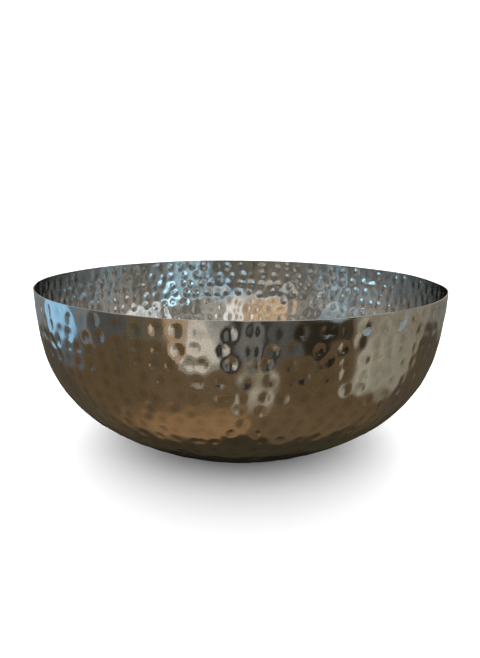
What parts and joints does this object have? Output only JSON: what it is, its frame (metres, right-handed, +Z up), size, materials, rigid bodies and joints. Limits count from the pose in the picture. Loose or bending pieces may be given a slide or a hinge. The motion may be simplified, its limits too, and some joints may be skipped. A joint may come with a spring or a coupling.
{
  "type": "hammered bowl",
  "caption": "Wide round open bowl raised from one thin sheet of bright metal, hammered in rings all over, with a plain cut rim and a flat base.",
  "frame": {"origin": "centre of the flat base's underside, where the bowl stands on the table", "axes": "+Z up through the middle of the open mouth; the bowl is round, so +X and +Y are any two directions square to it"},
  "size_m": [0.3, 0.3, 0.126],
  "materials": {
    "polished_steel": "polished, hammered facets in rings"
  },
  "bodies": {
    "root": {"bowl_shell": "polished_steel"}
  },
  "joints": []
}
